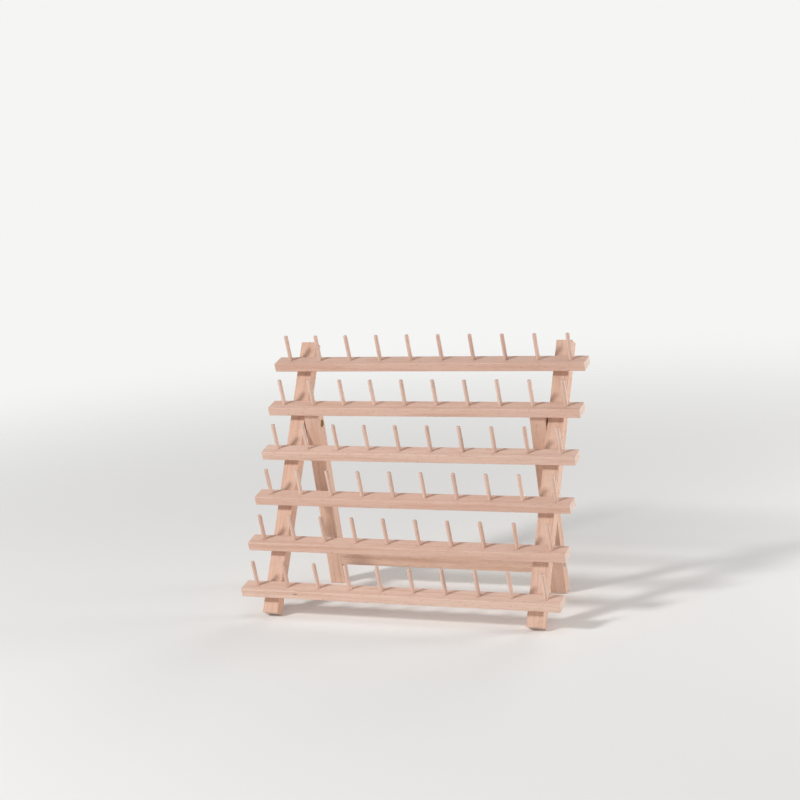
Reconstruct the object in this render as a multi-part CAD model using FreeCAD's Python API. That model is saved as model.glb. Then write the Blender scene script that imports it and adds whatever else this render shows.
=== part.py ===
# Folding thread spool rack in beech: six tilted rails of ten pegs on two leaning
# front legs, held up by a hinged rear stand. Millimetres, +Z up, the front
# towards -Y. The origin is on the floor under the middle of the whole rack.
import FreeCAD, Part
import math
import os

V = FreeCAD.Vector

# overall
RAIL_LEN = 400.0          # a rail, end to end
LEG_LEN = 340.0           # a front leg, end to end
LEG_LEAN = 29.0           # degrees that the front legs lean back
REAR_LEAN = 8.7           # degrees that the rear legs lean forward, open
FEET_Y = -73.18           # line where the front feet stand

# rails
RAIL_DEPTH = 20.5         # across the face that carries the pegs
RAIL_THICK = 10.5
RAIL_TILT = 14.5          # degrees that this face tips to the front
RAIL_COUNT = 6
RAIL_PITCH = 56.4         # from rail to rail, along the leg
LOWEST_RAIL = 37.0        # foot of the leg to the top back edge of the lowest rail
RAIL_PROUD = 3.9          # how far that edge stands in front of the leg
ARRIS = 0.5               # sanded edge of every batten

# pegs
PEG_COUNT = 10
PEG_PITCH = 40.33
PEG_DIA = 4.8
PEG_OUT = 33.0            # height of a peg above its rail

# battens of the legs
LEG_WIDE = 19.5
LEG_DEEP = 14.0
OVERHANG = 23.75          # rail end to the outer side of a front leg
LEG_GAP = 1.2             # space between a front leg and the rear leg beside it

# rear stand
PIVOT_UP = 237.0          # foot of the front leg to the pivot, on the centre line
STOP_GAP = 0.3            # rounded end of the rear leg to the rail above it
BAR_UP = 26.0             # foot of the rear leg to the crossbar
BAR_HIGH = 20.5
BAR_DEEP = 10.5

# screws
PIN_R = 2.5               # pivot screw, plain shank
PIN_PLAY = 0.08           # running clearance round it in the rear leg
PIN_BITE = 15.0           # its length in the front leg
HEAD_R = 4.3
HEAD_HIGH = 3.0
HEAD_SUNK = 0.8           # its crown below the inner side of the rear leg
HEAD_ROOM = 0.4           # clearance round the head
SEAT_PLAY = 0.15          # and under it
WASHER_R = 5.5
WASHER_THICK = 1.0
SCREW_R = 1.75            # countersunk screws of the crossbar
SINK_R = 3.5
SINK_DEEP = 1.9
BAR_SCREW_LEN = 38.0


def turn(deg):
    a = math.radians(deg)
    return math.sin(a), math.cos(a)


sl, cl = turn(LEG_LEAN)
st, ct = turn(RAIL_TILT)
sr, cr = turn(REAR_LEAN)

X = V(1, 0, 0)            # along a rail, to the right
UP = V(0, sl, cl)         # along a front leg
OUT = V(0, -cl, sl)       # out of its front face
NORMAL = V(0, -st, ct)    # out of the peg face of a rail
FWD = V(0, -ct, -st)      # across that face, to the front
RUP = V(0, -sr, cr)       # along a rear leg, open
RBACK = V(0, cr, sr)      # out of its back face

FOOT = V(0, FEET_Y, 0) + OUT * LEG_DEEP    # front bottom corner of a front leg

LEG_OUT_X = RAIL_LEN / 2 - OVERHANG
LEG_IN_X = LEG_OUT_X - LEG_WIDE
REAR_OUT_X = LEG_IN_X - LEG_GAP
REAR_IN_X = REAR_OUT_X - LEG_WIDE

PIVOT = FOOT + UP * PIVOT_UP - OUT * (LEG_DEEP / 2)
# the open rear leg stands on the front edge of its square foot
REAR_DOWN = (PIVOT.z - sr * LEG_DEEP / 2) / cr
REAR_FOOT = PIVOT - RUP * REAR_DOWN - RBACK * (LEG_DEEP / 2)


def rail_edge(n):
    """Top back edge of rail n, counted from the top."""
    return FOOT + UP * (LOWEST_RAIL + (RAIL_COUNT - n) * RAIL_PITCH) + OUT * RAIL_PROUD


def block(corner, ex, ey, ez, sx, sy, sz):
    """Batten from one corner along three square directions."""
    pts = [corner, corner + ex * sx, corner + ex * sx + ey * sy, corner + ey * sy]
    face = Part.Face(Part.makePolygon(pts + [pts[0]]))
    return face.extrude(ez * sz)


def eased(solid):
    """Takes the arris off every edge but the one that a foot stands on."""
    return solid.makeChamfer(ARRIS, [e for e in solid.Edges if e.BoundBox.ZMax > 0.01])


def rail_block(n):
    return block(rail_edge(n) - X * (RAIL_LEN / 2), X, FWD, -NORMAL, RAIL_LEN, RAIL_DEPTH, RAIL_THICK)


def peg_foot(n, j):
    x = (j - (PEG_COUNT - 1) / 2.0) * PEG_PITCH
    return rail_edge(n) + FWD * (RAIL_DEPTH / 2) + X * x


def rail(n):
    """Batten that lies tilted in the notches of both front legs."""
    return eased(rail_block(n))


def pegs(n):
    """Ten dowels square to the face of rail n."""
    r = PEG_DIA / 2
    made = [Part.makeCylinder(r, PEG_OUT, peg_foot(n, j), NORMAL) for j in range(PEG_COUNT)]
    return Part.makeCompound(made)


def leg_corner(side, inner_x, outer_x):
    return V(inner_x if side > 0 else -outer_x, 0, 0)


def pivot_screw(side):
    """Pan head screw sunk in the inner side of the rear leg, fast in the front leg."""
    way = X * side
    neck_x = REAR_IN_X + HEAD_SUNK + HEAD_HIGH
    neck = PIVOT + way * neck_x
    shank = Part.makeCylinder(PIN_R, LEG_IN_X + PIN_BITE - neck_x, neck, way)
    head = Part.makeCylinder(HEAD_R, HEAD_HIGH - 1.0, neck, -way)
    crown = Part.makeCone(HEAD_R, HEAD_R - 1.5, 1.0, neck - way * (HEAD_HIGH - 1.0), -way)
    return shank.fuse([head, crown]).removeSplitter()


def pivot_bore(side):
    """The stepped hole that turns on that screw."""
    way = X * side
    start = PIVOT + way * (REAR_IN_X - 1)
    hole = Part.makeCylinder(PIN_R + PIN_PLAY, LEG_WIDE + 2, start, way)
    seat = Part.makeCylinder(HEAD_R + HEAD_ROOM, 1 + HEAD_SUNK + HEAD_HIGH + SEAT_PLAY, start, way)
    return hole.fuse(seat)


def front_leg(side):
    """Leaning batten with six notches, each cut to the slant of its rail."""
    corner = FOOT + leg_corner(side, LEG_IN_X, LEG_OUT_X)
    leg = eased(block(corner, X, UP, -OUT, LEG_WIDE, LEG_LEN, LEG_DEEP))
    for n in range(1, RAIL_COUNT + 1):
        leg = leg.cut(rail_block(n))
    start = PIVOT + X * side * (LEG_IN_X - 1)
    pilot = Part.makeCylinder(PIN_R + 0.02, PIN_BITE + 1.5, start, X * side)
    return leg.cut(pilot)


def rear_leg(side):
    """Batten with a round top that comes to rest under the second rail."""
    r = LEG_DEEP / 2
    under = (rail_edge(2) - NORMAL * RAIL_THICK - PIVOT).dot(NORMAL)
    tilt = math.radians(LEG_LEAN + RAIL_TILT - (LEG_LEAN + REAR_LEAN))
    rise = (under - STOP_GAP - r) / math.cos(tilt)
    corner = REAR_FOOT + leg_corner(side, REAR_IN_X, REAR_OUT_X)
    length = REAR_DOWN + rise
    leg = block(corner, X, RUP, RBACK, LEG_WIDE, length, LEG_DEEP)
    low = [e for e in leg.Edges if not top_edge(e, corner, length) and e.BoundBox.ZMax > 0.01]
    leg = leg.makeChamfer(ARRIS, low)
    x0 = REAR_IN_X if side > 0 else -REAR_OUT_X
    centre = PIVOT + RUP * rise + X * x0
    leg = leg.fuse(eased_disc(centre, r)).removeSplitter()
    leg = leg.cut(pivot_bore(side))
    return leg.cut(bar_screw(side, 0.03))


def top_edge(edge, corner, length):
    mid = edge.CenterOfMass
    return (mid - corner).dot(RUP) > length - 0.1


def eased_disc(centre, r):
    disc = Part.makeCylinder(r, LEG_WIDE, centre, X)
    return disc.makeChamfer(ARRIS, [e for e in disc.Edges if len(e.Vertexes) == 1])


def bar_screw(side, play=0.0):
    """Countersunk screw from the outer side of a rear leg into the crossbar."""
    way = X * -side
    middle = RUP * (BAR_UP + BAR_HIGH / 2) + RBACK * (BAR_DEEP / 2)
    start = REAR_FOOT + middle + X * side * REAR_OUT_X
    shank = Part.makeCylinder(SCREW_R + play, BAR_SCREW_LEN + play, start, way)
    head = Part.makeCone(SINK_R + play, SCREW_R + play, SINK_DEEP, start, way)
    return shank.fuse(head).removeSplitter()


def crossbar():
    corner = REAR_FOOT + RUP * BAR_UP - X * REAR_IN_X
    bar = eased(block(corner, X, RUP, RBACK, 2 * REAR_IN_X, BAR_HIGH, BAR_DEEP))
    for side in (-1, 1):
        bar = bar.cut(bar_screw(side, 0.03))
    return bar


def washer(side):
    start = PIVOT + X * side * LEG_IN_X
    ring = Part.makeCylinder(WASHER_R, WASHER_THICK, start, X * -side)
    hole = Part.makeCylinder(PIN_R + 0.2, WASHER_THICK + 2, start + X * side, X * -side)
    return ring.cut(hole)


os.makedirs("parts", exist_ok=True)


def save(name, shape):
    shape.exportStep(os.path.join("parts", name + ".step"))


for n in range(1, RAIL_COUNT + 1):
    save("rail_%d" % n, rail(n))
    save("pegs_row_%d" % n, pegs(n))
for side, word in ((-1, "left"), (1, "right")):
    save("front_leg_" + word, front_leg(side))
    save("rear_leg_" + word, rear_leg(side))
    save("pivot_screw_" + word, pivot_screw(side))
    save("pivot_washer_" + word, washer(side))
save("rear_crossbar", crossbar())
save("crossbar_screws", Part.makeCompound([bar_screw(-1), bar_screw(1)]))
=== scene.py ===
import math
import random

import bmesh
import bpy
from mathutils import Matrix, Vector


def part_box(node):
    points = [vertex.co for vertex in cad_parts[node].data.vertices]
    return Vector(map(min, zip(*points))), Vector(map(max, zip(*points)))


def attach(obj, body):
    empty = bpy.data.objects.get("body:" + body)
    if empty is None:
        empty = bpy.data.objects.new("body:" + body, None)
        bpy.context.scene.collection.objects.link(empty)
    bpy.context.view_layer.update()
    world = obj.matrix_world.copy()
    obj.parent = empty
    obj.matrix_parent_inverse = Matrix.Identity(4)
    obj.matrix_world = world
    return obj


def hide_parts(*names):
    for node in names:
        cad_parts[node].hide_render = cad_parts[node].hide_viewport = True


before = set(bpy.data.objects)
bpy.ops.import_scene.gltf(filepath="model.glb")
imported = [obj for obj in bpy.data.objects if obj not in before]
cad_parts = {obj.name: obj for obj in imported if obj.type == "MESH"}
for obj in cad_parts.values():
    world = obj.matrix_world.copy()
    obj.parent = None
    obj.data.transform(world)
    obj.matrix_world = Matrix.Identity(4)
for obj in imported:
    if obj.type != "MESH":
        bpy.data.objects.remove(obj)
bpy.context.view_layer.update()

# Floor
# A plain pale studio floor. The rack stands on it and leaves its soft shadow there.
# Far from the rack it passes into the white of the room, so no edge of it shows.
FLOOR_SIZE = 12.0
FLOOR_SIDES = 96
FLOOR_COLOUR = "f2f1ef"
FLOOR_NEAR = 0.45
FLOOR_FAR = 2.0


def colour(hex_code):
    """An sRGB hex value as the linear colour that a socket takes."""
    parts = [int(hex_code[i:i + 2], 16) / 255 for i in (0, 2, 4)]
    linear = [c / 12.92 if c <= 0.04045 else ((c + 0.055) / 1.055) ** 2.4 for c in parts]
    return (*linear, 1.0)


def node(tree, kind, settings=None, links=None):
    """Adds a node. settings are its properties or input values, links are input: output socket."""
    made = tree.nodes.new(kind)
    for key, value in (settings or {}).items():
        if isinstance(key, str) and hasattr(made, key):
            setattr(made, key, value)
        else:
            made.inputs[key].default_value = value
    for key, source in (links or {}).items():
        tree.links.new(source, made.inputs[key])
    return made


def new_material(name):
    """A named material with an empty node tree, and its output node."""
    material = bpy.data.materials.new(name)
    material.use_nodes = True
    material.node_tree.nodes.clear()
    return material, material.node_tree, node(material.node_tree, "ShaderNodeOutputMaterial")


def object_from(name, work):
    """An object at the origin that holds the bmesh."""
    mesh = bpy.data.meshes.new(name)
    work.to_mesh(mesh)
    work.free()
    made = bpy.data.objects.new(name, mesh)
    bpy.context.scene.collection.objects.link(made)
    return made


work = bmesh.new()
bmesh.ops.create_circle(work, cap_ends=True, radius=FLOOR_SIZE, segments=FLOOR_SIDES)
studio_floor = object_from("studio_floor", work)
floor_paint, tree, out = new_material("painted studio floor")
place = node(tree, "ShaderNodeNewGeometry")
distance = node(tree, "ShaderNodeVectorMath", {"operation": "LENGTH"}, {0: place.outputs["Position"]})
fade = node(tree, "ShaderNodeMapRange",
            {"interpolation_type": "SMOOTHSTEP", "From Min": FLOOR_NEAR, "From Max": FLOOR_FAR},
            {"Value": distance.outputs["Value"]})
paint = node(tree, "ShaderNodeBsdfDiffuse", {"Color": colour(FLOOR_COLOUR)})
clear = node(tree, "ShaderNodeBsdfTransparent")
both = node(tree, "ShaderNodeMixShader", None,
            {0: fade.outputs["Result"], 1: paint.outputs[0], 2: clear.outputs[0]})
tree.links.new(both.outputs[0], out.inputs["Surface"])
studio_floor.data.materials.append(floor_paint)

# Room and lamps
# The white of the room is only what the camera and shiny parts see. A key lamp high on the
# left gives the peg shadows that run to the right. The others, above, low in front, by the
# right end and behind, light the remaining sides.
ROOM_WHITE = "f5f5f4"
ROOM_LIGHT = 0.22
LAMPS = (
    # name, place, size, power
    ("left_key_lamp", (-1.50, -1.90, 1.85), 0.50, 51.0),
    ("overhead_lamp", (0.1, -0.3, 3.0), 1.8, 9.0),
    ("front_fill_lamp", (0.2, -2.5, 0.45), 1.0, 13.0),
    ("right_side_lamp", (1.40, 0.50, 0.30), 0.5, 11.5),
    ("back_fill_lamp", (0.3, 3.0, 1.4), 1.8, 26.0),
)
LAMP_AIM = Vector((0.0, 0.0, 0.14))

world = bpy.data.worlds.new("white_room")
bpy.context.scene.world = world
world.use_nodes = True
tree = world.node_tree
tree.nodes.clear()
ray = node(tree, "ShaderNodeLightPath")
seen = node(tree, "ShaderNodeMath", {"operation": "MAXIMUM"},
            {0: ray.outputs["Is Camera Ray"], 1: ray.outputs["Is Glossy Ray"]})
seen = node(tree, "ShaderNodeMath", {"operation": "MAXIMUM"},
            {0: seen.outputs[0], 1: ray.outputs["Is Transmission Ray"]})
light = node(tree, "ShaderNodeBackground", {"Color": colour("ffffff"), "Strength": ROOM_LIGHT})
white = node(tree, "ShaderNodeBackground", {"Color": colour(ROOM_WHITE), "Strength": 1.0})
both = node(tree, "ShaderNodeMixShader", None,
            {0: seen.outputs[0], 1: light.outputs[0], 2: white.outputs[0]})
node(tree, "ShaderNodeOutputWorld", None, {"Surface": both.outputs[0]})

for name, place, size, power in LAMPS:
    lamp = bpy.data.lights.new(name, "AREA")
    lamp.shape = "DISK"
    lamp.size = size
    lamp.energy = power
    lamp_object = bpy.data.objects.new(name, lamp)
    bpy.context.scene.collection.objects.link(lamp_object)
    lamp_object.location = place
    lamp_object.rotation_euler = (LAMP_AIM - Vector(place)).to_track_quat("-Z", "Y").to_euler()

# Camera
# It stands where the product shot was taken from, right of the rack and a little above it.
# The slight roll is that of the picture.
CAMERA_PLACE = Vector((0.872, -1.9714, 0.660))
CAMERA_AZIMUTH = 24.19
CAMERA_ELEVATION = 10.80
CAMERA_ROLL = -4.56
CAMERA_LENS = 84.34
SENSOR = 36.0

azimuth = math.radians(CAMERA_AZIMUTH)
elevation = math.radians(CAMERA_ELEVATION)
roll = math.radians(CAMERA_ROLL)
forward = Vector((-math.sin(azimuth) * math.cos(elevation),
                  math.cos(azimuth) * math.cos(elevation),
                  -math.sin(elevation)))
level_right = Vector((math.cos(azimuth), math.sin(azimuth), 0.0))
level_up = level_right.cross(forward)
camera_right = math.cos(roll) * level_right + math.sin(roll) * level_up
camera_up = -math.sin(roll) * level_right + math.cos(roll) * level_up
camera_turn = Matrix((camera_right, camera_up, -forward)).transposed().to_4x4()
camera = bpy.data.cameras.new("product_camera")
camera.sensor_width = SENSOR
camera.lens = CAMERA_LENS
camera.clip_start = 0.05
camera_object = bpy.data.objects.new("product_camera", camera)
bpy.context.scene.collection.objects.link(camera_object)
camera_object.matrix_world = Matrix.Translation(CAMERA_PLACE) @ camera_turn
bpy.context.scene.camera = camera_object
bpy.context.scene.view_settings.view_transform = "Standard"

# Rails
# Six beech battens, planed on four sides, with the arrises taken off with sandpaper and
# ten holes drilled for the pegs. They lie glued in the notches of the front legs.
MM = 0.001
RAIL_COUNT = 6
RAIL_LONG = 400 * MM
RAIL_DEPTH = 20.5 * MM
RAIL_THICK = 10.5 * MM
RAIL_TILT = math.radians(14.5)
ARRIS = 0.7 * MM
ARRIS_STEPS = 4
PEG_COUNT = 10
PEG_PITCH = 40.33 * MM
PEG_IN = 7.5 * MM
HOLE_RADIUS = 2.5 * MM
HOLE_SPARE = 0.3 * MM     # left for glue under the peg
HOLE_RIM = 0.35 * MM
HOLE_SIDES = 32
KNOT_PLACE = Vector((-128 * MM, -RAIL_DEPTH / 2, 1.5 * MM))
KNOT_SIZE = Vector((4.5, 1.4, 1.1)) * MM
KNOT_BROWN = "7d5a46"

ALONG_X = Vector((1, 0, 0))
RAIL_NORMAL = Vector((0, -math.sin(RAIL_TILT), math.cos(RAIL_TILT)))
RAIL_BACK = Vector((0, math.cos(RAIL_TILT), math.sin(RAIL_TILT)))


def middle(cad_node):
    """Middle of a CAD node's box, which is the middle of a straight batten."""
    low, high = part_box(cad_node)
    return (Vector(low) + Vector(high)) / 2


def placed(centre, along, across, through):
    """The matrix that takes a piece made along X, at the origin, to its place."""
    return Matrix.Translation(centre) @ Matrix((along, across, through)).transposed().to_4x4()


def batten(size):
    """A bmesh block about the origin with its arrises rounded by sandpaper."""
    work = bmesh.new()
    bmesh.ops.create_cube(work, size=1.0, matrix=Matrix.Diagonal((*size, 1.0)))
    bmesh.ops.bevel(work, geom=list(work.edges), offset=ARRIS, segments=ARRIS_STEPS,
                    profile=0.5, affect="EDGES")
    return work


def turned(work, profile, sides, spin=Matrix.Identity(4)):
    """Adds a solid turned about X. Its profile is a list of (place along X, radius)."""
    rings = []
    for x, radius in profile:
        angles = [2 * math.pi * i / sides for i in range(sides)]
        points = [spin @ Vector((x, radius * math.cos(a), radius * math.sin(a))) for a in angles]
        rings.append([work.verts.new(p) for p in points])
    for a, b in zip(rings, rings[1:]):
        for i in range(sides):
            j = (i + 1) % sides
            work.faces.new((a[i], b[i], b[j], a[j]))
    work.faces.new(rings[0])
    work.faces.new(rings[-1][::-1])


def cut(target, tool_mesh):
    """Takes the tool's form out of the target and keeps the result as its mesh."""
    bmesh.ops.recalc_face_normals(tool_mesh, faces=tool_mesh.faces)
    tool = object_from("tool", tool_mesh)
    saw = target.modifiers.new("saw", "BOOLEAN")
    saw.operation = "DIFFERENCE"
    saw.solver = "EXACT"
    saw.object = tool
    depsgraph = bpy.context.evaluated_depsgraph_get()
    result = bpy.data.meshes.new_from_object(target.evaluated_get(depsgraph))
    target.modifiers.clear()
    target.data = result
    bpy.data.objects.remove(tool)


def smooth(piece, angle=40):
    """Rounded parts shade smooth, flat ones flat."""
    piece.data.shade_smooth()
    piece.data.set_sharp_from_angle(angle=math.radians(angle))
    even = piece.modifiers.new("even_shading", "WEIGHTED_NORMAL")
    even.keep_sharp = True
    even.weight = 100


FAR_AWAY = Vector((1, 1, 1))
END_SLANT = 0.75     # a face this square to the grain shows end grain


def grown(piece, place, size, seed, knot=FAR_AWAY, round_piece=False):
    """Gives each point its place in the wood: along the grain, across it and through it.

    It also keeps the place in the batten and half its size, from which the material finds
    the arrises, the tone of this batten and, face by face, where the end grain shows."""
    pick = random.Random(seed)
    # how far along the log it was cut, and how far from the heart
    log = Vector((pick.uniform(0, 3), pick.uniform(-0.09, 0.09), pick.uniform(0.04, 0.12)))
    tone = pick.uniform(-1, 1)
    back = place.inverted()
    mesh = piece.data
    local = [back @ v.co for v in mesh.vertices]
    half = Vector(size) / 2
    values = {"timber": [p + log for p in local],
              "batten_place": local,
              "batten_half": [half] * len(local),
              "knot_place": [p - knot for p in local]}
    if round_piece:
        values["batten_place"] = [Vector((p.x, half.y, 0)) for p in local]
    for name, vectors in values.items():
        layer = mesh.attributes.new(name, "FLOAT_VECTOR", "POINT")
        layer.data.foreach_set("vector", [c for v in vectors for c in v])
    layer = mesh.attributes.new("batten_tone", "FLOAT", "POINT")
    layer.data.foreach_set("value", [tone] * len(local))
    along = place.to_3x3() @ ALONG_X
    layer = mesh.attributes.new("end_grain", "FLOAT", "FACE")
    ends = [float(abs(f.normal.dot(along)) > END_SLANT) for f in mesh.polygons]
    layer.data.foreach_set("value", ends)


# Beech is even and pinkish tan. The eye knows it by short darker flecks along the grain,
# faint growth lines, and fine pores, drawn here three times as wide so that they show.
STREAK_LONG, STREAK_WIDE = 150 * MM, 5 * MM
PORE_LONG, PORE_WIDE = 14 * MM, 0.7 * MM
FLECK_LONG, FLECK_WIDE = 5.0 * MM, 0.9 * MM
VESSEL_LONG, VESSEL_WIDE = 1.0, 0.6 * MM     # runs on through the batten, a dot at its end
BEND_LONG, BEND_WIDE, BEND = 90 * MM, 14 * MM, 5 * MM
# the painted highlight on the arrises comes in patches this long and this wide
HIGHLIGHT_PATCH_LONG, HIGHLIGHT_PATCH_WIDE = 30 * MM, 8 * MM
HANDLED_WIDE = 62.5 * MM
RING_WIDE = 2.6 * MM
WAVE_TURN = 2 * math.pi / 20     # a Wave Texture of scale 1 repeats at this distance
# how far in from an arris the painted highlight reaches
ARRIS_HIGHLIGHT_WIDE = 1.0 * MM
PORE_DEPTH = 0.12 * MM


def beech(name, wood, pale, streak, fleck, end):
    """Planed, unfinished beech: dull, with a weak sheen along the planed faces."""
    material, tree, out = new_material(name)
    timber, in_batten, half_batten, from_knot = (
        node(tree, "ShaderNodeAttribute", {"attribute_name": kept}).outputs["Vector"]
        for kept in ("timber", "batten_place", "batten_half", "knot_place"))
    batten_tone, end_face = (
        node(tree, "ShaderNodeAttribute", {"attribute_name": kept}).outputs["Fac"]
        for kept in ("batten_tone", "end_grain"))

    def figure(source, long, wide, detail):
        """Marks in the wood, so long along the batten and so wide across it."""
        drawn_out = node(tree, "ShaderNodeVectorMath",
                         {"operation": "MULTIPLY", 1: (1 / long, 1 / wide, 1 / wide)},
                         {0: source})
        return node(tree, "ShaderNodeTexNoise", {"Scale": 1.0, "Detail": detail, "Roughness": 0.5},
                    {"Vector": drawn_out.outputs[0]})

    def marked(ground, mark, marks, low, high, most):
        """Ground colour with the colour of the marks over it, none at low and most at high.

        Each colour is a hex value, or what an earlier layer gave."""
        cover = node(tree, "ShaderNodeMapRange",
                     {"interpolation_type": "SMOOTHSTEP", "From Min": low, "From Max": high,
                      "To Max": most}, {"Value": marks})
        settings, links = {"data_type": "RGBA"}, {0: cover.outputs["Result"]}
        for slot, layer in ((6, ground), (7, mark)):
            if isinstance(layer, str):
                settings[slot] = colour(layer)
            else:
                links[slot] = layer
        return node(tree, "ShaderNodeMix", settings, links).outputs[2]

    # the grain bends a little on its way along the batten
    bend = figure(timber, BEND_LONG, BEND_WIDE, 1.0)
    grain = node(tree, "ShaderNodeVectorMath", {"operation": "MULTIPLY_ADD", 1: (0, BEND, BEND)},
                 {0: bend.outputs["Color"], 2: timber}).outputs[0]
    rings = node(tree, "ShaderNodeTexWave",
                 {"wave_type": "RINGS", "rings_direction": "X", "wave_profile": "SAW",
                  "Scale": WAVE_TURN / RING_WIDE, "Distortion": 1.5, "Detail": 2.0,
                  "Detail Scale": 0.6}, {"Vector": grain}).outputs["Fac"]
    streaks = figure(grain, STREAK_LONG, STREAK_WIDE, 3.0).outputs["Fac"]
    pores = figure(grain, PORE_LONG, PORE_WIDE, 2.0).outputs["Fac"]
    flecks = figure(grain, FLECK_LONG, FLECK_WIDE, 1.0).outputs["Fac"]
    vessels = figure(timber, VESSEL_LONG, VESSEL_WIDE, 2.0).outputs["Fac"]

    # battens from different boards differ in tone
    share = node(tree, "ShaderNodeMath", {"operation": "MULTIPLY_ADD", 1: 0.3, 2: 0.5},
                 {0: batten_tone})
    tint = node(tree, "ShaderNodeMix", {"data_type": "RGBA", 6: colour(wood), 7: colour(pale)},
                {0: share.outputs[0]}).outputs[2]
    # each line: where its marks begin and are full, and how much they then cover
    tint = marked(tint, streak, streaks, 0.44, 0.7, 0.55)
    tint = marked(tint, streak, rings, 0.7, 1.0, 0.28)
    tint = marked(tint, fleck, pores, 0.54, 0.74, 0.45)
    tint = marked(tint, fleck, flecks, 0.64, 0.76, 0.6)

    end_tint = marked(end, fleck, vessels, 0.42, 0.66, 0.4)
    end_tint = marked(end_tint, fleck, rings, 0.5, 1.0, 0.35)
    tint = node(tree, "ShaderNodeMix", {"data_type": "RGBA"},
                {0: end_face, 6: tint, 7: end_tint}).outputs[2]

    # the arrises, which get a painted highlight, are where two of the three distances to the outer
    # faces are short
    inward = node(tree, "ShaderNodeVectorMath", {"operation": "ABSOLUTE"}, {0: in_batten})
    inward = node(tree, "ShaderNodeVectorMath", {"operation": "SUBTRACT"},
                  {0: half_batten, 1: inward.outputs[0]})
    distances = node(tree, "ShaderNodeSeparateXYZ", None, {0: inward.outputs[0]})
    short = [node(tree, "ShaderNodeMapRange",
                  {"interpolation_type": "SMOOTHSTEP", "From Min": 0.1 * ARRIS_HIGHLIGHT_WIDE,
                   "From Max": ARRIS_HIGHLIGHT_WIDE, "To Min": 1.0, "To Max": 0.0},
                  {"Value": distance}).outputs["Result"] for distance in distances.outputs]
    total = node(tree, "ShaderNodeMath", {"operation": "ADD"}, {0: short[0], 1: short[1]})
    total = node(tree, "ShaderNodeMath", {"operation": "ADD"}, {0: total.outputs[0], 1: short[2]})
    arris = node(tree, "ShaderNodeMath", {"operation": "SUBTRACT", 1: 1.0, "use_clamp": True},
                 {0: total.outputs[0]})
    # a painted highlight: the pale colour laid along the arrises, in patches
    highlight_patches = figure(timber, HIGHLIGHT_PATCH_LONG, HIGHLIGHT_PATCH_WIDE, 3.0)
    arris_highlight = node(tree, "ShaderNodeMapRange",
                {"interpolation_type": "SMOOTHSTEP", "From Min": 0.45, "From Max": 0.7,
                 "To Max": 0.3}, {"Value": highlight_patches.outputs["Fac"]})
    arris_highlight = node(tree, "ShaderNodeMath", {"operation": "MULTIPLY"},
                {0: arris.outputs[0], 1: arris_highlight.outputs["Result"]})
    tint = node(tree, "ShaderNodeMix", {"data_type": "RGBA", 7: colour(pale)},
                {0: arris_highlight.outputs[0], 6: tint}).outputs[2]

    # handling leaves the faces a little greyer here and there
    handled = node(tree, "ShaderNodeTexNoise", {"Scale": 1 / HANDLED_WIDE, "Detail": 3.0},
                   {"Vector": timber})
    tint = marked(tint, end, handled.outputs["Fac"], 0.5, 0.75, 0.16)

    # a small dark knot, strongest at the middle of its place
    reach = node(tree, "ShaderNodeVectorMath", {"operation": "DIVIDE", 1: tuple(KNOT_SIZE)},
                 {0: from_knot})
    reach = node(tree, "ShaderNodeVectorMath", {"operation": "LENGTH"}, {0: reach.outputs[0]})
    tint = marked(tint, KNOT_BROWN, reach.outputs["Value"], 1.0, 0.35, 0.8)

    rough = node(tree, "ShaderNodeMapRange", {"To Min": 0.5, "To Max": 0.72}, {"Value": pores})
    height = node(tree, "ShaderNodeMath", {"operation": "ADD", "use_clamp": True},
                  {0: pores, 1: flecks})
    bump = node(tree, "ShaderNodeBump", {"Strength": 0.35, "Distance": PORE_DEPTH},
                {"Height": height.outputs[0]})
    shader = node(tree, "ShaderNodeBsdfPrincipled", {"IOR": 1.45, "Specular IOR Level": 0.35},
                  {"Base Color": tint, "Roughness": rough.outputs["Result"],
                   "Normal": bump.outputs[0]})
    tree.links.new(shader.outputs[0], out.inputs["Surface"])
    return material


rail_beech = beech("planed beech, rails", "d7b1a0", "e3c6b6", "c9a08a", "b48a73", "e2cdc0")

for number in range(1, RAIL_COUNT + 1):
    name = f"rail_{number}"
    size = (RAIL_LONG, RAIL_DEPTH, RAIL_THICK)
    place = placed(middle(name), ALONG_X, RAIL_BACK, RAIL_NORMAL)
    work = batten(size)
    bmesh.ops.transform(work, matrix=place, verts=work.verts)
    piece = object_from(f"{name}_batten", work)

    drill = bmesh.new()
    top = RAIL_THICK / 2
    bore = [(top - PEG_IN - HOLE_SPARE, HOLE_RADIUS), (top - HOLE_RIM, HOLE_RADIUS),
            (top + HOLE_RIM, HOLE_RADIUS + 2 * HOLE_RIM)]
    for j in range(PEG_COUNT):
        stand = Matrix.Translation(((j - (PEG_COUNT - 1) / 2) * PEG_PITCH, 0, 0))
        upright = stand @ Matrix.Rotation(-math.pi / 2, 4, "Y")
        turned(drill, bore, HOLE_SIDES, place @ upright)
    cut(piece, drill)

    # the one knot is in the front of the lowest rail
    knot = KNOT_PLACE if number == RAIL_COUNT else FAR_AWAY
    grown(piece, place, size, f"beech rail {number}", knot)
    smooth(piece)
    piece.data.materials.append(rail_beech)
    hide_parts(name)
    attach(piece, "front_frame")

# Pegs
# Ten beech dowels in each rail, cut to length with the top end rounded over, and pushed
# into their holes with glue. They stand a hair out of true, as glued dowels do.
PEG_RADIUS = 2.4 * MM
PEG_OUT = 33 * MM
PEG_ROUND = 1.3 * MM
PEG_ROUND_STEPS = 6
PEG_EASE = 0.3 * MM       # taken off the end that goes in, over PEG_EASE_LONG
PEG_EASE_LONG = 0.4 * MM
PEG_SIDES = 28
PEG_LEAN = math.radians(0.35)

peg_beech = beech("turned beech, pegs", "dbb9a9", "e6cebf", "cba490", "b8907a", "d4b6a7")

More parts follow.
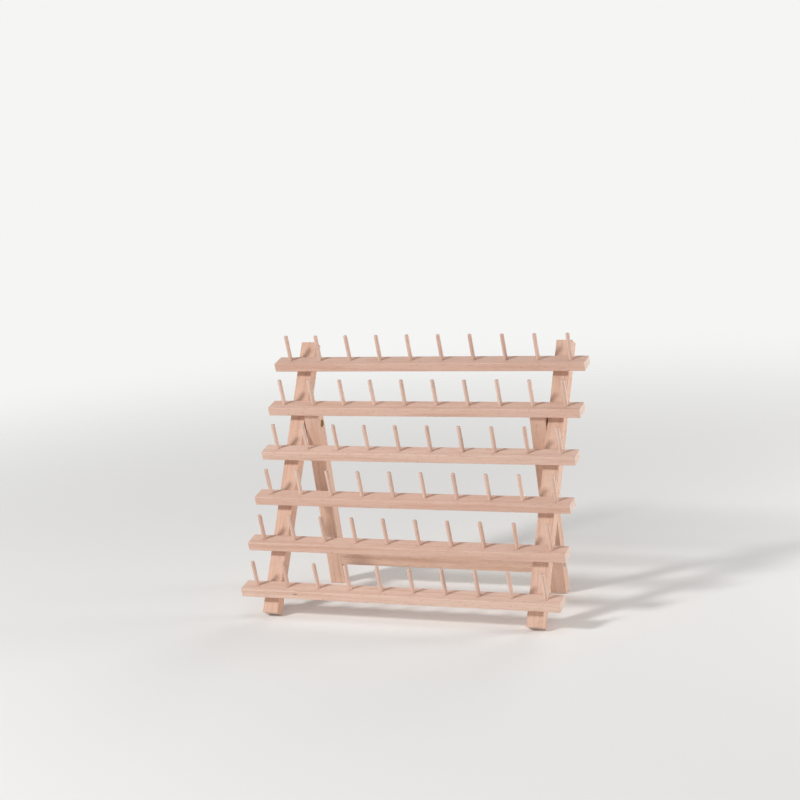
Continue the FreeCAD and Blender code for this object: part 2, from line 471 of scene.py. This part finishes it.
for number in range(1, RAIL_COUNT + 1):
    name = f"pegs_row_{number}"
    pick = random.Random(name)
    row = middle(name)
    work = bmesh.new()
    rounding = [i * math.pi / 2 / PEG_ROUND_STEPS for i in range(PEG_ROUND_STEPS + 1)]
    tip = [(PEG_OUT - PEG_ROUND * (1 - math.sin(a)), PEG_RADIUS - PEG_ROUND * (1 - math.cos(a)))
           for a in rounding]
    profile = [(-PEG_IN, PEG_RADIUS - PEG_EASE), (-PEG_IN + PEG_EASE_LONG, PEG_RADIUS),
               (0.0, PEG_RADIUS), (PEG_OUT / 2, PEG_RADIUS)] + tip
    for j in range(PEG_COUNT):
        foot = row - RAIL_NORMAL * PEG_OUT / 2 + ALONG_X * (j - (PEG_COUNT - 1) / 2) * PEG_PITCH
        stand = placed(foot, RAIL_NORMAL, ALONG_X, RAIL_NORMAL.cross(ALONG_X))
        lean = Matrix.Rotation(pick.gauss(0, PEG_LEAN), 4, "Y")
        lean = lean @ Matrix.Rotation(pick.gauss(0, PEG_LEAN), 4, "Z")
        turned(work, profile, PEG_SIDES, stand @ lean)
    bmesh.ops.recalc_face_normals(work, faces=work.faces)
    piece = object_from(f"{name}_dowels", work)
    place = placed(row, RAIL_NORMAL, ALONG_X, RAIL_NORMAL.cross(ALONG_X))
    grown(piece, place, (PEG_OUT, 2 * PEG_RADIUS, 2 * PEG_RADIUS), name, round_piece=True)
    smooth(piece, 50)
    piece.data.materials.append(peg_beech)
    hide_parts(name)
    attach(piece, "front_frame")

# Front legs
# Two planed beech battens that lean back. Six slanted notches are sawn across the front
# of each, cut to the tilt of the rails, so that every rail sits square in its seat.
LEG_LONG = 340 * MM
LEG_WIDE = 19.5 * MM
LEG_DEEP = 14 * MM
LEG_LEAN = math.radians(29)
SEAT_ROOM = 0.06 * MM

LEG_UP = Vector((0, math.sin(LEG_LEAN), math.cos(LEG_LEAN)))

leg_beech = beech("planed beech, legs", "d1a993", "e4c6b3", "c49a82", "af846d", "ddc6b8")

for side in ("left", "right"):
    name = f"front_leg_{side}"
    size = (LEG_LONG, LEG_WIDE, LEG_DEEP)
    place = placed(middle(name), LEG_UP, ALONG_X, LEG_UP.cross(ALONG_X))
    work = batten(size)
    bmesh.ops.transform(work, matrix=place, verts=work.verts)
    piece = object_from(f"{name}_batten", work)

    seats = bmesh.new()
    for number in range(1, RAIL_COUNT + 1):
        seat = middle(f"rail_{number}")
        seat.x = place.translation.x
        room = (LEG_WIDE * 2, RAIL_DEPTH + 2 * SEAT_ROOM, RAIL_THICK + 2 * SEAT_ROOM, 1.0)
        block = placed(seat, ALONG_X, RAIL_BACK, RAIL_NORMAL) @ Matrix.Diagonal(room)
        bmesh.ops.create_cube(seats, size=1.0, matrix=block)
    cut(piece, seats)

    grown(piece, place, size, name)
    smooth(piece)
    piece.data.materials.append(leg_beech)
    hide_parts(name)
    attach(piece, "front_frame")

# Rear legs
# Two shorter beech battens that turn on the pivot screws, whose heads are sunk in the inner
# sides. Their tops are rounded over, so that they swing clear of the second rail and come
# to rest under it when the rack stands.
REAR_LEAN = math.radians(8.7)
TOP_ROUND = LEG_DEEP / 2
TOP_STEPS = 16
PIVOT_HOLE = 2.6 * MM
HEAD_BORE = 4.7 * MM
HEAD_SEAT = 3.95 * MM
SCREW_HOLE = 1.8 * MM
SINK_RADIUS = 3.6 * MM
SINK_DEEP = 2.0 * MM
DRILL_PAST = 1 * MM       # how far a drill still stands out of the wood
BAR_UP = 26 * MM
BAR_HIGH = 20.5 * MM
BAR_DEEP = 10.5 * MM

REAR_UP = Vector((0, -math.sin(REAR_LEAN), math.cos(REAR_LEAN)))

pivot = middle("pivot_washer_left")
pivot.x = 0
rear_top = Vector(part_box("rear_leg_left")[1]).z
arc_up = (rear_top - TOP_ROUND - pivot.z) / math.cos(REAR_LEAN)
foot_down = (pivot.z - math.sin(REAR_LEAN) * LEG_DEEP / 2) / math.cos(REAR_LEAN)

for side, way in (("left", -1), ("right", 1)):
    name = f"rear_leg_{side}"
    centre_x = middle(name).x
    # made along X from the foot, across its width on Y, through its depth on Z
    place = placed(pivot + ALONG_X * centre_x, REAR_UP, ALONG_X, REAR_UP.cross(ALONG_X))
    work = bmesh.new()
    outline = [(-foot_down, -LEG_DEEP / 2), (-foot_down, LEG_DEEP / 2)]
    outline += [(arc_up + TOP_ROUND * math.cos(a), TOP_ROUND * math.sin(a))
                for a in (math.pi / 2 - i * math.pi / TOP_STEPS for i in range(TOP_STEPS + 1))]
    face = work.faces.new([work.verts.new((x, -LEG_WIDE / 2, z)) for x, z in outline])
    swept = bmesh.ops.extrude_face_region(work, geom=[face])
    moved = [v for v in swept["geom"] if isinstance(v, bmesh.types.BMVert)]
    bmesh.ops.translate(work, verts=moved, vec=(0, LEG_WIDE, 0))
    bmesh.ops.recalc_face_normals(work, faces=work.faces)
    sharp = [e for e in work.edges if e.calc_face_angle(0) > math.radians(60)]
    bmesh.ops.bevel(work, geom=sharp, offset=ARRIS, segments=ARRIS_STEPS,
                    profile=0.5, affect="EDGES")
    bmesh.ops.transform(work, matrix=place, verts=work.verts)
    piece = object_from(f"{name}_batten", work)

    drill = bmesh.new()
    side_face = LEG_WIDE / 2
    to_inner = Matrix.Rotation(-way * math.pi / 2, 4, "Z")
    to_outer = Matrix.Rotation(way * math.pi / 2, 4, "Z")
    pivot_bore = [(-LEG_WIDE, PIVOT_HOLE), (side_face - HEAD_SEAT, PIVOT_HOLE),
                  (side_face - HEAD_SEAT, HEAD_BORE), (side_face + DRILL_PAST, HEAD_BORE)]
    turned(drill, pivot_bore, HOLE_SIDES, place @ to_inner)
    bar_middle = Matrix.Translation((BAR_UP + BAR_HIGH / 2 - foot_down, 0, -(LEG_DEEP - BAR_DEEP) / 2))
    sink = [(-LEG_WIDE, SCREW_HOLE), (side_face - SINK_DEEP, SCREW_HOLE),
            (side_face, SINK_RADIUS), (side_face + DRILL_PAST, SINK_RADIUS + DRILL_PAST)]
    turned(drill, sink, HOLE_SIDES, place @ bar_middle @ to_outer)
    cut(piece, drill)

    long = foot_down + arc_up + TOP_ROUND
    leg_middle = place @ Matrix.Translation((long / 2 - foot_down, 0, 0))
    grown(piece, leg_middle, (long, LEG_WIDE, LEG_DEEP), f"{side} rear leg")
    smooth(piece)
    piece.data.materials.append(leg_beech)
    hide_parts(name)
    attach(piece, "rear_stand")

# Crossbar
# A beech batten of the same stock as the rails, on edge between the rear legs and flush
# with their front faces. One countersunk screw through each leg holds it.
low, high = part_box("rear_crossbar")
size = (high[0] - low[0], BAR_HIGH, BAR_DEEP)
place = placed(middle("rear_crossbar"), ALONG_X, REAR_UP, ALONG_X.cross(REAR_UP))
work = batten(size)
bmesh.ops.transform(work, matrix=place, verts=work.verts)
piece = object_from("rear_crossbar_batten", work)
grown(piece, place, size, "rear_crossbar")
smooth(piece)
piece.data.materials.append(leg_beech)
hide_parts("rear_crossbar")
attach(piece, "rear_stand")

# Pivot screws and washers
# Pan head screws of brass plated steel, sunk in the inner side of each rear leg and driven
# through it into the front leg, with a plain washer between the legs. The plating is a
# warm yellow with a soft shine, paler where it is rubbed.
HEAD_RADIUS = 4.3 * MM
HEAD_HIGH = 2.9 * MM
HEAD_EASE = 0.25 * MM     # under the rim of the head
DOME_HIGH = 0.62 * HEAD_HIGH
DOME_FULL = 0.6           # below 1 the dome is flatter on top and rounder at its rim
DOME_STEPS = 8
DOME_REACH = 0.94         # share of the quarter turn that the dome covers
SHANK_RADIUS = 2.5 * MM
TIP_LONG = 2 * MM
TIP_RADIUS = 1 * MM
RECESS_LONG = 4.4 * MM
RECESS_WIDE = 1.0 * MM
RECESS_DEEP = 1.6 * MM
BLADE_TOP, BLADE_TIP = 1.65, 0.35     # width of the driver's blade there, against RECESS_LONG
PLATE_CLOUD = 0.77 * MM
PLATE_BUMP = 0.05 * MM


def coated_steel(name, finish, bare, roughness):
    """Steel under a thin plated coat: satin, cloudy, brighter where it is rubbed."""
    material, tree, out = new_material(name)
    place = node(tree, "ShaderNodeTexCoord")
    patch = node(tree, "ShaderNodeTexNoise",
                 {"Scale": 1 / PLATE_CLOUD, "Detail": 5.0, "Roughness": 0.6},
                 {"Vector": place.outputs["Object"]})
    rub = node(tree, "ShaderNodeMapRange", {"From Min": 0.45, "From Max": 0.8, "To Max": 0.6},
               {"Value": patch.outputs["Fac"]})
    tint = node(tree, "ShaderNodeMix", {"data_type": "RGBA", 6: colour(finish), 7: colour(bare)},
                {0: rub.outputs["Result"]})
    rough = node(tree, "ShaderNodeMapRange",
                 {"To Min": roughness - 0.08, "To Max": roughness + 0.12},
                 {"Value": patch.outputs["Fac"]})
    bump = node(tree, "ShaderNodeBump", {"Strength": 0.2, "Distance": PLATE_BUMP},
                {"Height": patch.outputs["Fac"]})
    shader = node(tree, "ShaderNodeBsdfPrincipled", {"Metallic": 1.0},
                  {"Base Color": tint.outputs[2], "Roughness": rough.outputs["Result"],
                   "Normal": bump.outputs[0]})
    tree.links.new(shader.outputs[0], out.inputs["Surface"])
    return material


def cross_recess(piece, places, long, wide, deep):
    """Cuts a cross recess into each screw head: two tapered blades, one after the other.

    The axis of a screw is the X of its place, which starts on the head and runs into the wood."""
    for quarter in (0, math.pi / 2):
        blades = bmesh.new()
        for at in places:
            blade = at @ Matrix.Rotation(quarter, 4, "X")
            points = []
            for x, reach in ((-deep, BLADE_TOP), (deep, BLADE_TIP)):
                for y, z in ((-1, -1), (1, -1), (1, 1), (-1, 1)):
                    point = blade @ Vector((x, y * long / 2 * reach, z * wide / 2))
                    points.append(blades.verts.new(point))
            blades.faces.new(points[3::-1])
            blades.faces.new(points[4:])
            for i in range(4):
                j = (i + 1) % 4
                blades.faces.new((points[i], points[j], points[j + 4], points[i + 4]))
        cut(piece, blades)


brass_steel = coated_steel("brass plated steel", "a8845f", "d2bb9c", 0.36)

for side, way in (("left", -1), ("right", 1)):
    name = f"pivot_screw_{side}"
    low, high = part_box(name)
    crown = high[0] if way < 0 else low[0]
    end = low[0] if way < 0 else high[0]
    length = abs(end - crown)
    # made along X from the crown of the head into the wood
    place = placed(Vector((crown, pivot.y, pivot.z)), ALONG_X * way,
                   Vector((0, way, 0)), Vector((0, 0, 1)))
    rounding = [DOME_REACH * math.pi / 2 * (1 - i / DOME_STEPS) for i in range(DOME_STEPS + 1)]
    dome = [(DOME_HIGH * (1 - math.sin(a)), HEAD_RADIUS * math.cos(a) ** DOME_FULL)
            for a in rounding]
    profile = dome + [(HEAD_HIGH - HEAD_EASE, HEAD_RADIUS), (HEAD_HIGH, HEAD_RADIUS - HEAD_EASE),
                      (HEAD_HIGH, SHANK_RADIUS), (length - TIP_LONG, SHANK_RADIUS),
                      (length, TIP_RADIUS)]
    work = bmesh.new()
    turned(work, profile, HOLE_SIDES, place)
    bmesh.ops.recalc_face_normals(work, faces=work.faces)
    piece = object_from(f"{name}_pan_head", work)
    cross_recess(piece, [place], RECESS_LONG, RECESS_WIDE, RECESS_DEEP)
    smooth(piece, 35)
    piece.data.materials.append(brass_steel)
    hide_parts(name)
    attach(piece, "front_frame")

for side in ("left", "right"):
    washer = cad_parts[f"pivot_washer_{side}"]
    washer.data.materials.clear()
    washer.data.materials.append(brass_steel)

# Crossbar screws
# Countersunk wood screws of zinc plated steel, one through each rear leg from its outer
# side, with the head just below the wood. The plating is pale grey with a dull shine.
SINK_HEAD = 3.5 * MM
SINK_EASE = 0.2 * MM      # taken off the rim of the head, over SINK_RIM
SINK_RIM = 0.1 * MM
SINK_NECK = 1.9 * MM
SINK_SHANK = 1.75 * MM
BELOW_WOOD = 0.1 * MM
BAR_SCREW_LONG = 38 * MM
BAR_SCREW_TAPER = 3 * MM
BAR_SCREW_BLUNT = 0.2 * MM
BAR_SCREW_TIP = 0.4 * MM
BAR_RECESS = 0.8          # size of the recess against that of a pivot screw

work = bmesh.new()
heads = []
low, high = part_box("crossbar_screws")
screw_y, screw_z = (low[1] + high[1]) / 2, (low[2] + high[2]) / 2
for way, outer_x in ((1, low[0]), (-1, high[0])):
    place = placed(Vector((outer_x + way * BELOW_WOOD, screw_y, screw_z)), ALONG_X * way,
                   Vector((0, way, 0)), Vector((0, 0, 1)))
    profile = [(0.0, SINK_HEAD - SINK_EASE), (SINK_RIM, SINK_HEAD), (SINK_NECK, SINK_SHANK),
               (BAR_SCREW_LONG - BAR_SCREW_TAPER, SINK_SHANK),
               (BAR_SCREW_LONG - BAR_SCREW_BLUNT, BAR_SCREW_TIP)]
    turned(work, profile, HOLE_SIDES, place)
    heads.append(place)
bmesh.ops.recalc_face_normals(work, faces=work.faces)
piece = object_from("crossbar_screws_countersunk", work)
cross_recess(piece, heads, BAR_RECESS * RECESS_LONG, BAR_RECESS * RECESS_WIDE,
             BAR_RECESS * RECESS_DEEP)
smooth(piece, 35)
zinc_steel = coated_steel("zinc plated steel, screws", "aaa49b", "ccc7be", 0.42)
piece.data.materials.append(zinc_steel)
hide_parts("crossbar_screws")
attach(piece, "rear_stand")
